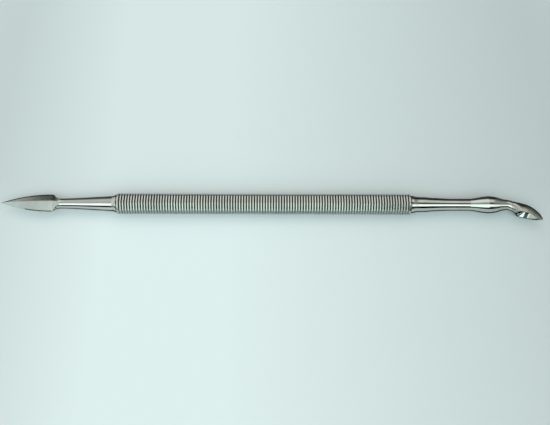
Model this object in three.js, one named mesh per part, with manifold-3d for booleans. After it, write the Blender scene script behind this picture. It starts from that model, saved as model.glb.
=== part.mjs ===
// A double-ended steel modelling spatula: a pointed leaf blade at one end, a small bent scoop
// at the other, and between them an eight-sided handle turned with ring grooves for grip.
//
// Millimetres, +Z up. The tool lies on one flat of its handle. The origin is on that flat, at
// the middle of the handle's length. +X runs along the handle towards the scoop, and the
// scoop bends towards -Y. The blade and the bend lie in a plane parallel to the flat.

import * as THREE from 'three';
import { mergeVertices } from 'three/addons/utils/BufferGeometryUtils.js';
import Module from 'manifold-3d';

const wasm = await Module();
wasm.setup();

// Handle
const HANDLE_LENGTH = 82.3;
const HANDLE_ACROSS_FLATS = 5.37;
const HANDLE_SIDES = 8;
const END_CONE_LENGTH = 0.45;
const END_FACE_DIAMETER = 4.9;
const GROOVE_PITCH = 0.75;
const GROOVE_WIDTH = 0.38;
const GROOVE_FLOOR_DIAMETER = 5.08;
const END_LAND_LEAST = 0.05;

// Tang and socket, alike at both ends
const TANG_DIAMETER = 3.0;
const TANG_LENGTH = 11.0;
const SOCKET_CLEARANCE = 0.05;
const SOCKET_END_GAP = 0.5;

// Braze fillet round the foot of each neck
const BRAZE_OUTER_DIAMETER = 4.84;
const BRAZE_CLEARANCE = 0.01;
const BLADE_BRAZE_LENGTH = 1.2;
const SCOOP_BRAZE_LENGTH = 2.1;

// Blade end, from the handle outwards
const BLADE_NECK_FOOT_DIAMETER = 4.3;
const BLADE_NECK_DIAMETER = 2.78;
const BLADE_NECK_TAPER_LENGTH = 13.55;
const BLADE_NECK_STRAIGHT_LENGTH = 2.0;
const RUN_OUT_LENGTH = 2.1;
const BLADE_LENGTH = 14.6;
const BLADE_WIDEST_FROM_TIP = 14.0;
const BLADE_WIDTH = 5.48;
const BLADE_THICKNESS = 2.74;
const BLADE_SIDE_OFFSET = 0.16;

// Scoop end, from the handle outwards
const SCOOP_NECK_FOOT_DIAMETER = 4.2;
const SCOOP_NECK_DIAMETER = 3.3;
const SCOOP_NECK_TAPER_LENGTH = 11.25;
const SCOOP_NECK_STRAIGHT_LENGTH = 5.0;
const BULB_DIAMETER = 4.8;
const BULB_RISE_LENGTH = 5.6;
const BULB_FALL_LENGTH = 5.2;
const WAIST_DIAMETER = 2.8;
const SCOOP_LENGTH = 9.42;
const SCOOP_WIDTH = 3.6;
const SCOOP_DEPTH = 2.7;
const SCOOP_DROP = 4.68;
const MOUTH_START = 1.7;
const MOUTH_START_DROP = 2.37;
const BOWL_LENGTH = 5.75;
const BOWL_WIDTH = 3.0;
const BOWL_DEPTH = 1.7;
const BOWL_RIM_AT_HEEL = 0.8;

// How finely round and curved shapes are cut
const ROUND_SIDES = 24;
const BOWL_RINGS = 10;

// Places that follow from the sizes
const AXIS_HEIGHT = HANDLE_ACROSS_FLATS / 2;
const HANDLE_END = HANDLE_LENGTH / 2;
const SHOULDER_FROM_HANDLE = BLADE_NECK_TAPER_LENGTH + BLADE_NECK_STRAIGHT_LENGTH + RUN_OUT_LENGTH;
const BLADE_REACH = SHOULDER_FROM_HANDLE + BLADE_LENGTH;
const BULB_FROM_HANDLE = SCOOP_NECK_TAPER_LENGTH + SCOOP_NECK_STRAIGHT_LENGTH + BULB_RISE_LENGTH;
const WAIST_FROM_HANDLE = BULB_FROM_HANDLE + BULB_FALL_LENGTH;

// Finishes
const handleSteel = new THREE.MeshStandardMaterial({ color: 0x9a978f, metalness: 1, roughness: 0.34 });
const polishedSteel = new THREE.MeshStandardMaterial({ color: 0xb4b2ac, metalness: 1, roughness: 0.16 });
const silverBraze = new THREE.MeshStandardMaterial({ color: 0xd2cdbd, metalness: 1, roughness: 0.28 });

// Half of the distance across corners of a regular outline, from half of that across flats
function cornerRadius(flatRadius, sides) {
  return flatRadius / Math.cos(Math.PI / sides);
}

// Turns a closed geometry into a solid that can be cut and joined
function toSolid(geometry) {
  const bare = geometry.clone();
  bare.deleteAttribute('normal');
  bare.deleteAttribute('uv');
  const merged = mergeVertices(bare, 1e-5);
  const vertProperties = new Float32Array(merged.attributes.position.array);
  const triVerts = new Uint32Array(merged.index.array);
  return new wasm.Manifold(new wasm.Mesh({ numProp: 3, vertProperties, triVerts }));
}

// Turns a solid back into a geometry
function toGeometry(solid) {
  const { vertProperties, triVerts } = solid.getMesh();
  const geometry = new THREE.BufferGeometry();
  geometry.setAttribute('position', new THREE.BufferAttribute(new Float32Array(vertProperties), 3));
  geometry.setIndex(new THREE.BufferAttribute(new Uint32Array(triVerts), 1));
  geometry.computeVertexNormals();
  return geometry;
}

// A bar turned about the X axis. The profile is a list of [x, radius] in order of rising x.
function turned(profile, sides, firstCorner = 0) {
  const points = profile.map(([x, radius]) => new THREE.Vector2(radius, x));
  const geometry = new THREE.LatheGeometry(points, sides, firstCorner);
  geometry.rotateZ(-Math.PI / 2);
  return geometry;
}

// A bar along X whose section is stretched and shifted from station to station. Each station
// is { x, y, halfY, halfZ }, and one with no size closes the bar to a point. Sections with
// four sides are diamonds, with their corners on the Y and Z directions.
function stretchedBar(stations, sides) {
  const profile = stations.map(({ x, halfY }) => [x, halfY === 0 ? 0 : 1]);
  const geometry = turned(profile, sides);
  const position = geometry.attributes.position;
  for (let i = 0; i < position.count; i += 1) {
    const { y, halfY, halfZ } = stations[i % stations.length];
    position.setY(i, y + position.getY(i) * halfY);
    position.setZ(i, position.getZ(i) * halfZ);
  }
  return geometry;
}

// A round pin along X between two places
function pin(fromX, toX, radius) {
  return turned([[fromX, 0], [fromX, radius], [toX, radius], [toX, 0]], ROUND_SIDES);
}

// A bar along X with flats all round, and a line down the middle of each flat. Each station is
// { x, corner, flat }: how far its corners and the middles of its flats are from the axis.
// Where both are the same, the bar is round there.
function flattedBar(stations) {
  const profile = stations.map(({ x, corner }) => [x, corner === 0 ? 0 : 1]);
  const geometry = turned(profile, 2 * HANDLE_SIDES, Math.PI / HANDLE_SIDES);
  const position = geometry.attributes.position;
  for (let i = 0; i < position.count; i += 1) {
    const { corner, flat } = stations[i % stations.length];
    const lane = Math.floor(i / stations.length);
    const radius = lane % 2 === 0 ? corner : flat;
    position.setY(i, position.getY(i) * radius);
    position.setZ(i, position.getZ(i) * radius);
  }
  return geometry;
}

// Handle: an eight-sided bar with grooves turned all along it, coned at both ends and bored
// for the tangs. A turned groove has a round floor, so it cuts deepest at the bar's corners.
function makeHandle() {
  const eightSided = (x, flat) => ({ x, corner: cornerRadius(flat, HANDLE_SIDES), flat });
  const round = (x, radius) => ({ x, corner: radius, flat: radius });
  const land = HANDLE_ACROSS_FLATS / 2;
  const floor = GROOVE_FLOOR_DIAMETER / 2;
  const endFace = END_FACE_DIAMETER / 2;
  // The cone is turned, so it starts on the corners and meets the flats nearer the end.
  const coneFall = cornerRadius(land, HANDLE_SIDES) - endFace;
  const meetsFlats = HANDLE_END - END_CONE_LENGTH * ((land - endFace) / coneFall);
  const grooved = HANDLE_LENGTH - 2 * (END_CONE_LENGTH + END_LAND_LEAST);
  // An even count keeps a land, and not a groove, at the middle of the handle.
  const grooveCount = 2 * Math.floor(grooved / GROOVE_PITCH / 2);

  const stations = [
    round(-HANDLE_END, 0),
    round(-HANDLE_END, endFace),
    round(-meetsFlats, land),
    eightSided(END_CONE_LENGTH - HANDLE_END, land),
  ];
  for (let i = 0; i < grooveCount; i += 1) {
    const middle = (i + 0.5 - grooveCount / 2) * GROOVE_PITCH;
    stations.push(
      eightSided(middle - GROOVE_WIDTH / 2, land),
      round(middle, floor),
      eightSided(middle + GROOVE_WIDTH / 2, land),
    );
  }
  stations.push(
    eightSided(HANDLE_END - END_CONE_LENGTH, land),
    round(meetsFlats, land),
    round(HANDLE_END, endFace),
    round(HANDLE_END, 0),
  );

  const socketRadius = TANG_DIAMETER / 2 + SOCKET_CLEARANCE;
  const socketBottom = HANDLE_END - TANG_LENGTH - SOCKET_END_GAP;
  const overshoot = 1;
  const bar = toSolid(flattedBar(stations));
  const leftSocket = toSolid(pin(-HANDLE_END - overshoot, -socketBottom, socketRadius));
  const rightSocket = toSolid(pin(socketBottom, HANDLE_END + overshoot, socketRadius));
  return toGeometry(bar.subtract(leftSocket).subtract(rightSocket));
}

// Distance from the blade's middle line to its edge. The edge is an arc from the tip that
// runs level where the blade is widest.
function bladeHalfWidth(fromTip) {
  const half = BLADE_WIDTH / 2;
  const arcRadius = (BLADE_WIDEST_FROM_TIP ** 2 + half ** 2) / (2 * half);
  const beforeWidest = BLADE_WIDEST_FROM_TIP - fromTip;
  return half - arcRadius + Math.sqrt(arcRadius ** 2 - beforeWidest ** 2);
}

// Height of the blade's ridge over its middle plane. It rises fast near the tip.
function bladeRidge(fromTip) {
  const RIDGE_CURVE = 0.55;
  return (BLADE_THICKNESS / 2) * (fromTip / BLADE_LENGTH) ** RIDGE_CURVE;
}

// Blade end: tang, tapered round neck, and a leaf blade of diamond section
function makeBladeEnd() {
  const neck = BLADE_NECK_DIAMETER / 2;
  const foot = BLADE_NECK_FOOT_DIAMETER / 2;
  const taperEnd = -HANDLE_END - BLADE_NECK_TAPER_LENGTH;
  const neckEnd = taperEnd - BLADE_NECK_STRAIGHT_LENGTH;
  const tip = -HANDLE_END - BLADE_REACH;
  const coneEnd = neckEnd - 0.55 * RUN_OUT_LENGTH;

  const bar = turned([
    [coneEnd, 0],
    [coneEnd, 0.62 * neck],
    [neckEnd, neck],
    [taperEnd, neck],
    [-HANDLE_END, foot],
    [-HANDLE_END, TANG_DIAMETER / 2],
    [TANG_LENGTH - HANDLE_END, TANG_DIAMETER / 2],
    [TANG_LENGTH - HANDLE_END, 0],
  ], ROUND_SIDES);

  // The edge, from the tip to the shoulder
  const edgeShares = [0.04, 0.1, 0.19, 0.32, 0.47, 0.62, 0.77, 0.9, 1];
  const stations = [{ x: tip, y: BLADE_SIDE_OFFSET, halfY: 0, halfZ: 0 }];
  for (const share of edgeShares) {
    const fromTip = share * BLADE_LENGTH;
    stations.push({
      x: tip + fromTip,
      y: BLADE_SIDE_OFFSET,
      halfY: bladeHalfWidth(fromTip),
      halfZ: bladeRidge(fromTip),
    });
  }

  // The run-out, from the shoulder's corner into the neck: [share of its length, share of its rise]
  const runOut = [[0.12, 0.86], [0.24, 0.59], [0.34, 0.38], [0.46, 0.22], [0.63, 0.09], [0.82, 0.02], [1, 0]];
  const INSIDE_THE_NECK = 0.985;
  const neckCorner = neck * INSIDE_THE_NECK;
  const shoulderHalf = bladeHalfWidth(BLADE_LENGTH);
  for (const [along, rise] of runOut) {
    stations.push({
      x: tip + BLADE_LENGTH + along * RUN_OUT_LENGTH,
      y: BLADE_SIDE_OFFSET * rise,
      halfY: neckCorner + (shoulderHalf - neckCorner) * rise,
      halfZ: neckCorner + (BLADE_THICKNESS / 2 - neckCorner) * rise,
    });
  }
  const closing = tip + BLADE_LENGTH + RUN_OUT_LENGTH + BLADE_NECK_STRAIGHT_LENGTH / 2;
  stations.push({ x: closing, y: 0, halfY: 0, halfZ: 0 });

  const leaf = stretchedBar(stations, 4);
  return toGeometry(toSolid(bar).add(toSolid(leaf)));
}

// Scoop end: tang, waisted neck with a bulb, and a bent body hollowed into a pointed scoop
function makeScoopEnd() {
  const foot = SCOOP_NECK_FOOT_DIAMETER / 2;
  const neck = SCOOP_NECK_DIAMETER / 2;
  const bulb = BULB_DIAMETER / 2;
  const waist = WAIST_DIAMETER / 2;
  const round = (x, radius) => ({ x: HANDLE_END + x, y: 0, halfY: radius, halfZ: radius });
  const between = (low, high, share) => low + (high - low) * share;

  // A tapered neck with a slight belly near its foot, then straight: [share of length, share of fall]
  const taper = [[0.19, 0.02], [0.36, 0.1], [0.43, 0.24], [0.5, 0.4], [0.68, 0.63], [0.86, 0.88], [1, 0.97]];
  // The bulb's rise and fall: [share of length, share of rise], [share of length, share of fall]
  const rise = [[0.18, 0.1], [0.36, 0.33], [0.52, 0.56], [0.68, 0.76], [0.85, 0.92], [1, 1]];
  const fall = [[0.16, 0.06], [0.31, 0.16], [0.48, 0.36], [0.67, 0.68], [0.85, 0.9], [1, 1]];

  const straightEnd = SCOOP_NECK_TAPER_LENGTH + SCOOP_NECK_STRAIGHT_LENGTH;
  const stations = [
    { x: HANDLE_END - TANG_LENGTH, y: 0, halfY: 0, halfZ: 0 },
    round(-TANG_LENGTH, TANG_DIAMETER / 2),
    round(0, TANG_DIAMETER / 2),
    round(0, foot),
  ];
  for (const [along, share] of taper) {
    stations.push(round(along * SCOOP_NECK_TAPER_LENGTH, between(foot, neck, share)));
  }
  stations.push(round(straightEnd, neck));
  for (const [along, share] of rise) {
    stations.push(round(straightEnd + along * BULB_RISE_LENGTH, between(neck, bulb, share)));
  }
  for (const [along, share] of fall) {
    stations.push(round(BULB_FROM_HANDLE + along * BULB_FALL_LENGTH, between(bulb, waist, share)));
  }

  // The bent body, whole, before its mouth is cut: shares of the scoop's length, drop, depth
  // and width. Its widest line lies at the mouth.
  const body = [
    [0.117, 0.085, 0.548, 0.76],
    [0.212, 0.177, 0.619, 0.83],
    [0.255, 0.269, 0.737, 0.88],
    [0.297, 0.38, 0.889, 0.93],
    [0.355, 0.556, 1.13, 0.97],
    [0.488, 0.641, 1.089, 0.98],
    [0.59, 0.705, 1.037, 0.93],
    [0.682, 0.763, 0.959, 0.86],
    [0.766, 0.821, 0.856, 0.73],
    [0.856, 0.882, 0.689, 0.55],
    [0.924, 0.932, 0.504, 0.37],
    [0.962, 0.968, 0.344, 0.22],
    [0.982, 0.985, 0.207, 0.12],
  ];
  for (const [along, drop, depth, width] of body) {
    stations.push({
      x: HANDLE_END + WAIST_FROM_HANDLE + along * SCOOP_LENGTH,
      y: -drop * SCOOP_DROP,
      halfY: depth * SCOOP_DEPTH,
      halfZ: (width * SCOOP_WIDTH) / 2,
    });
  }
  stations.push({ x: HANDLE_END + WAIST_FROM_HANDLE + SCOOP_LENGTH, y: -SCOOP_DROP, halfY: 0, halfZ: 0 });

  // The mouth is a slanting plane from the heel to the tip. Everything beyond it is cut away.
  const heel = new THREE.Vector2(HANDLE_END + WAIST_FROM_HANDLE + MOUTH_START, -MOUTH_START_DROP);
  const tip = new THREE.Vector2(HANDLE_END + WAIST_FROM_HANDLE + SCOOP_LENGTH, -SCOOP_DROP);
  const slant = tip.clone().sub(heel).angle();
  const cutSize = 4 * SCOOP_LENGTH;
  const beyond = new THREE.BoxGeometry(cutSize, cutSize, cutSize);
  beyond.translate(cutSize / 2, -cutSize / 2, 0);
  beyond.rotateZ(slant);
  beyond.translate(heel.x, heel.y, 0);

  // The bowl is half of an egg-shaped hollow, sunk into the mouth's plane.
  const bowlMiddle = BOWL_RIM_AT_HEEL + BOWL_LENGTH / 2;
  const bowl = new THREE.SphereGeometry(1, ROUND_SIDES, BOWL_RINGS);
  bowl.rotateZ(Math.PI / 2);
  bowl.scale(BOWL_LENGTH / 2, BOWL_DEPTH, BOWL_WIDTH / 2);
  bowl.translate(bowlMiddle, 0, 0);
  bowl.rotateZ(slant);
  bowl.translate(heel.x, heel.y, 0);

  const whole = toSolid(stretchedBar(stations, ROUND_SIDES));
  return toGeometry(whole.subtract(toSolid(beyond)).subtract(toSolid(bowl)));
}

// Braze: a fillet dressed to a smooth curve, from the handle's end face down to the neck. Its
// bore follows the neck, whose radius falls from foot to end over the fillet's length.
function makeBraze({ foot, end, length }) {
  const outer = BRAZE_OUTER_DIAMETER / 2;
  const last = end + BRAZE_CLEARANCE;
  const CURVE_STEPS = 5;
  const profile = [[0, foot + BRAZE_CLEARANCE], [0, outer]];
  for (let i = 1; i < CURVE_STEPS; i += 1) {
    const along = i / CURVE_STEPS;
    const share = (1 + Math.cos(Math.PI * along)) / 2;
    profile.push([along * length, last + (outer - last) * share]);
  }
  profile.push([length, last], [0, foot + BRAZE_CLEARANCE]);
  return turned(profile, ROUND_SIDES);
}

// Adds a named piece to the tool, on the handle's axis
const tool = new THREE.Group();
function addPiece(name, geometry, material) {
  const mesh = new THREE.Mesh(geometry, material);
  mesh.name = name;
  mesh.position.z = AXIS_HEIGHT;
  tool.add(mesh);
  return mesh;
}

addPiece('handle', makeHandle(), handleSteel);
addPiece('blade_end', makeBladeEnd(), polishedSteel);
addPiece('scoop_end', makeScoopEnd(), polishedSteel);

// The blade's neck is a straight cone, and the scoop's neck hardly narrows under its braze.
const bladeFoot = BLADE_NECK_FOOT_DIAMETER / 2;
const bladeNarrowing = (bladeFoot - BLADE_NECK_DIAMETER / 2) / BLADE_NECK_TAPER_LENGTH;
const bladeBraze = addPiece(
  'blade_braze',
  makeBraze({
    foot: bladeFoot,
    end: bladeFoot - bladeNarrowing * BLADE_BRAZE_LENGTH,
    length: BLADE_BRAZE_LENGTH,
  }),
  silverBraze,
);
bladeBraze.rotation.z = Math.PI;
bladeBraze.position.x = -HANDLE_END;

const scoopFoot = SCOOP_NECK_FOOT_DIAMETER / 2;
const scoopBraze = addPiece(
  'scoop_braze',
  makeBraze({ foot: scoopFoot, end: scoopFoot - 0.009, length: SCOOP_BRAZE_LENGTH }),
  silverBraze,
);
scoopBraze.position.x = HANDLE_END;

export default tool;
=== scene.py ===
"""Looks of a double-ended steel modelling spatula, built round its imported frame.

The tool lies along X on one flat of its grooved handle, with the blade at -X and the scoop
at +X. Sizes are in millimetres, as a maker would write them. Meshes are in metres.
"""

from __future__ import annotations

import logging
import math
from bisect import bisect_right
from collections.abc import Callable, Sequence
from dataclasses import dataclass, field
from enum import Enum

import bmesh
import bpy
from mathutils import Matrix, Vector

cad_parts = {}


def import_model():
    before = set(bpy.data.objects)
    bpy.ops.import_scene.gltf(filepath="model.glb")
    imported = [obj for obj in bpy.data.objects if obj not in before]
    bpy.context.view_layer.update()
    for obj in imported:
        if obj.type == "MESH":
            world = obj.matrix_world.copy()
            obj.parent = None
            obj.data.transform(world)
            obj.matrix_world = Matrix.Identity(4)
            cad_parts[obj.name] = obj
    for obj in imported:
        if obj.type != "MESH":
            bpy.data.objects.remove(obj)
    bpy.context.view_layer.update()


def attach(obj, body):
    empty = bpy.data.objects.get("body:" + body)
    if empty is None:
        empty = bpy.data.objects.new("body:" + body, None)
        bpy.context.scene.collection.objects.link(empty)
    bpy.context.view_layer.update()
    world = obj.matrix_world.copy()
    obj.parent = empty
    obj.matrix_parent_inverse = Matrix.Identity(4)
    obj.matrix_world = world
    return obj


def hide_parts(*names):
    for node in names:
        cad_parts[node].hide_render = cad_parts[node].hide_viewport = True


MM = 0.001
LOG = logging.getLogger("spatula")
# A flat round end also has an inner ring, at this share of its radius
END_RING = 0.4
# Kinds of socket in a node group
FLOAT, VECTOR = "NodeSocketFloat", "NodeSocketVector"

# Pairs of place and value, in order of rising place
Table = tuple[tuple[float, float], ...]
# Sideways and upward distances
Points = list[tuple[float, float]]
# From a lane's number to the place of its vertex in a ring, in millimetres
Outline = Callable[[int], Vector]
# Red, green, blue and opacity
Colour = tuple[float, float, float, float]
# Shared node groups by name
Groups = dict[str, bpy.types.NodeTree]
NodeSocket = bpy.types.NodeSocket
Value = NodeSocket | float


class Finish(Enum):
    """Named finishes of the tool and of what it lies on."""

    GROOVED = "grooved_steel"
    POLISHED = "polished_steel"
    GROUND = "ground_steel"
    # Nearly black steel: painted shade along edges, the shoulders' wall and the lower rim
    PAINTED_SHADE = "honed_steel"
    DRESSED_DIMMED = "dressed_steel"
    BOWL = "bowl_steel"
    BRAZE = "silver_braze"
    PAPER = "pale_paper"


Materials = dict[Finish, bpy.types.Material]


class SmoothCurve:
    """A smooth line through a table of values, which never overshoots them."""

    def __init__(self, table: Table) -> None:
        """Works out the slope at each entry.

        Args:
            table: pairs of place and value, in order of rising place.
        """
        self.places = [place for place, _ in table]
        self.values = [value for _, value in table]
        steps = [
            (self.values[i + 1] - self.values[i]) / (self.places[i + 1] - self.places[i])
            for i in range(len(table) - 1)
        ]
        self.slopes = [steps[0]]
        for before, after in zip(steps, steps[1:]):
            flat = before * after <= 0
            self.slopes.append(0.0 if flat else 2 * before * after / (before + after))
        self.slopes.append(steps[-1])

    def at(self, place: float) -> float:
        """Reads the curve.

        Args:
            place: where to read it; outside the table it keeps its end value.

        Returns:
            The value there.
        """
        place = min(max(place, self.places[0]), self.places[-1])
        i = min(bisect_right(self.places, place), len(self.places) - 1) - 1
        width = self.places[i + 1] - self.places[i]
        t = (place - self.places[i]) / width
        start, end = self.values[i], self.values[i + 1]
        leave, arrive = self.slopes[i] * width, self.slopes[i + 1] * width
        return (
            start * (1 + 2 * t) * (1 - t) ** 2
            + leave * t * (1 - t) ** 2
            + end * t * t * (3 - 2 * t)
            + arrive * t * t * (t - 1)
        )


def only(kind: type, items: list) -> list:
    """Returns the items of one kind, such as the vertices."""
    return [item for item in items if isinstance(item, kind)]


class DrawnBar:
    """A closed bar along X, drawn out of one ring of vertices, ring after ring.

    Every vertex keeps the number of its lane, so that a ring can take a new outline.
    """

    def __init__(self, lanes: int) -> None:
        """Starts the bar.

        Args:
            lanes: how many vertices each ring has.
        """
        self.mesh = bmesh.new()
        self.lane = self.mesh.verts.layers.int.new("lane")
        bmesh.ops.create_circle(self.mesh, cap_ends=False, segments=lanes, radius=1.0)
        for number, vertex in enumerate(self.mesh.verts):
            vertex[self.lane] = number
        self.first = list(self.mesh.verts)
        self.verts = list(self.mesh.verts)
        self.edges = list(self.mesh.edges)
        self.started = False

    def ring(self, outline: Outline) -> None:
        """Draws the bar out to its next ring.

        Args:
            outline: gives the place of each lane's vertex.
        """
        if self.started:
            out = bmesh.ops.extrude_edge_only(self.mesh, edges=self.edges)["geom"]
            self.verts = only(bmesh.types.BMVert, out)
            new = set(self.verts)
            edges = only(bmesh.types.BMEdge, out)
            self.edges = [edge for edge in edges if new.issuperset(edge.verts)]
        self.started = True
        for vertex in self.verts:
            vertex.co = outline(vertex[self.lane]) * MM

    def close(self, start: Vector, end: Vector) -> None:
        """Draws both open ends together and turns all faces outwards.

        Args:
            start: the point that the first ring shrinks to, in millimetres.
            end: the point that the last ring shrinks to, in millimetres.
        """
        bmesh.ops.pointmerge(self.mesh, verts=self.first, merge_co=start * MM)
        bmesh.ops.pointmerge(self.mesh, verts=self.verts, merge_co=end * MM)
        bmesh.ops.recalc_face_normals(self.mesh, faces=self.mesh.faces)


def round_outline(x: float, radius: float, lanes: int, axis: float) -> Outline:
    """Gives the outline of a round section.

    Args:
        x: the section's place along the tool.
        radius: its radius.
        lanes: how many vertices the ring has.
        axis: height of the tool's axis.

    Returns:
        The section's outline.
    """

    def place(lane: int) -> Vector:
        """Places a lane's vertex on the circle."""
        angle = math.tau * lane / lanes
        return Vector((x, radius * math.cos(angle), axis + radius * math.sin(angle)))

    return place


def spread(start: float, end: float, count: int) -> list[float]:
    """Returns count + 1 evenly spaced values from start to end."""
    return [start + (end - start) * i / count for i in range(count + 1)]


def finish_piece(
    name: str,
    mesh: bmesh.types.BMesh,
    finishes: list[bpy.types.Material],
    sharp_degrees: float,
) -> None:
    """Turns a mesh into a shaded piece of the tool that stands for its node.

    Args:
        name: the node that the piece replaces; the piece is NAME_look.
        mesh: the finished shape, in metres.
        finishes: the materials, in the order of the faces' numbers.
        sharp_degrees: edges that turn by more than this stay crisp.
    """
    limit = math.radians(sharp_degrees)
    for face in mesh.faces:
        face.smooth = True
    for edge in mesh.edges:
        edge.smooth = edge.calc_face_angle(math.pi) < limit
    data = bpy.data.meshes.new(f"{name}_look")
    mesh.to_mesh(data)
    mesh.free()
    for material in finishes:
        data.materials.append(material)
    piece = bpy.data.objects.new(f"{name}_look", data)
    bpy.context.scene.collection.objects.link(piece)
    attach(piece, "root")
    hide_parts(name)
    LOG.info("%s: %d faces", piece.name, len(data.polygons))


@dataclass(frozen=True)
class Socket:
    """The tang of a working end and the socket that takes it."""

    tang_diameter: float = 3.0
    tang_length: float = 11.0
    clearance: float = 0.05
    end_gap: float = 0.5


@dataclass
class GroovedHandle:
    """The eight-sided handle, with rings turned all along it."""

    length: float = 82.3
    across_flats: float = 5.37
    sides: int = 8
    corner_round: float = 0.03
    end_cone: float = 0.45
    end_face_diameter: float = 4.9
    groove_pitch: float = 0.75
    groove_width: float = 0.38
    groove_floor_diameter: float = 5.08
    groove_edge: float = 0.03
    groove_floor_round: float = 0.05
    least_end_land: float = 0.05
    socket: Socket = field(default_factory=Socket)
    # Lanes on each flat, from its middle: near the middle, then close beside each corner
    middle_lane: float = 0.35
    corner_lanes: tuple[float, float] = (0.1, 0.05)
    cone_rings: int = 10

    @property
    def end(self) -> float:
        """Distance from the tool's middle to an end face."""
        return self.length / 2

    @property
    def axis(self) -> float:
        """Height of the axis when the handle rests on a flat."""
        return self.across_flats / 2

    @property
    def groove_count(self) -> int:
        """An even number of grooves, so that a land lies at the middle."""
        grooved = self.length - 2 * (self.end_cone + self.least_end_land)
        return 2 * math.floor(grooved / self.groove_pitch / 2)

    def outline(self, flat: float) -> Points:
        """Gives the eight-sided outline with slightly rounded corners, lane by lane.

        Args:
            flat: distance from the axis to a flat.

        Returns:
            The sideways and upward distances from the axis.
        """
        half_side = flat * math.tan(math.pi / self.sides)
        corner = flat / math.cos(math.pi / self.sides) - self.corner_round
        near, nearest = (half_side - back for back in self.corner_lanes)
        spots = [-nearest, -near, -self.middle_lane, self.middle_lane, near, nearest]
        points = []
        for side in range(self.sides):
            turn = side * math.tau / self.sides
            across, up = math.cos(turn), math.sin(turn)
            points += [(flat * across - spot * up, flat * up + spot * across) for spot in spots]
            turn += math.pi / self.sides
            points.append((corner * math.cos(turn), corner * math.sin(turn)))
        return points

    def sided(self, x: float, flat: float) -> Outline:
        """Gives an eight-sided ring at x, with its flats that far from the axis."""
        points = self.outline(flat)
        return lambda lane: Vector((x, points[lane][0], self.axis + points[lane][1]))

    def turned(self, x: float, radius: float) -> Outline:
        """Gives a round ring at x, with its vertices in line with the eight-sided ones."""
        return self.coned(x, radius, math.inf)

    def coned(self, x: float, radius: float, flat: float) -> Outline:
        """Gives a round ring that stops at the flats.

        Args:
            x: the ring's place along the tool.
            radius: its radius.
            flat: distance from the axis to a flat.

        Returns:
            The ring's outline.
        """
        points = self.outline(self.across_flats / 2)

        def place(lane: int) -> Vector:
            """Places a lane's vertex on the circle, or on its flat where that is nearer."""
            across, up = points[lane]
            reach = math.hypot(across, up)
            share = min(radius, flat * reach / (self.across_flats / 2)) / reach
            return Vector((x, across * share, self.axis + up * share))

        return place

    def build(self, materials: Materials) -> None:
        """Builds the handle.

        Args:
            materials: the finishes by name.
        """
        flat = self.across_flats / 2
        floor = self.groove_floor_diameter / 2
        half = self.groove_width / 2
        edge, soft = self.groove_edge, self.groove_floor_round
        bore = self.socket.tang_diameter / 2 + self.socket.clearance
        bottom = self.end - self.socket.tang_length - self.socket.end_gap

        bar = DrawnBar(len(self.outline(flat)))
        bar.ring(self.turned(-bottom, END_RING * bore))
        bar.ring(self.turned(-bottom, bore))
        bar.ring(self.turned(-self.end, bore))
        self.draw_end_cone(bar, -1)
        for i in range(self.groove_count):
            middle = (i + 0.5 - self.groove_count / 2) * self.groove_pitch
            bar.ring(self.sided(middle - half - edge, flat))
            bar.ring(self.sided(middle - half, flat - edge))
            bar.ring(self.turned(middle - half + soft, floor + soft))
            bar.ring(self.turned(middle - half + 2 * soft, floor))
            bar.ring(self.turned(middle + half - 2 * soft, floor))
            bar.ring(self.turned(middle + half - soft, floor + soft))
            bar.ring(self.sided(middle + half, flat - edge))
            bar.ring(self.sided(middle + half + edge, flat))
        self.draw_end_cone(bar, 1)
        bar.ring(self.turned(self.end, bore))
        bar.ring(self.turned(bottom, bore))
        bar.ring(self.turned(bottom, END_RING * bore))
        bar.close(Vector((-bottom, 0, self.axis)), Vector((bottom, 0, self.axis)))
        finishes = [materials[Finish.GROOVED]]
        finish_piece("handle", bar.mesh, finishes, sharp_degrees=28)

    def draw_end_cone(self, bar: DrawnBar, side: int) -> None:
        """Draws the turned cone at an end, which bites into the corners before the flats.

        Args:
            bar: the bar being drawn from -X to +X.
            side: -1 for the blade's end, 1 for the scoop's end.
        """
        flat = self.across_flats / 2
        face = self.end_face_diameter / 2
        rise = flat / math.cos(math.pi / self.sides) - self.corner_round - face
        rings = [
            self.coned(side * (self.end - self.end_cone * share), face + rise * share, flat)
            for share in spread(0.0, 1.0, self.cone_rings)
        ]
        for outline in rings if side < 0 else reversed(rings):
            bar.ring(outline)


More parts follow.
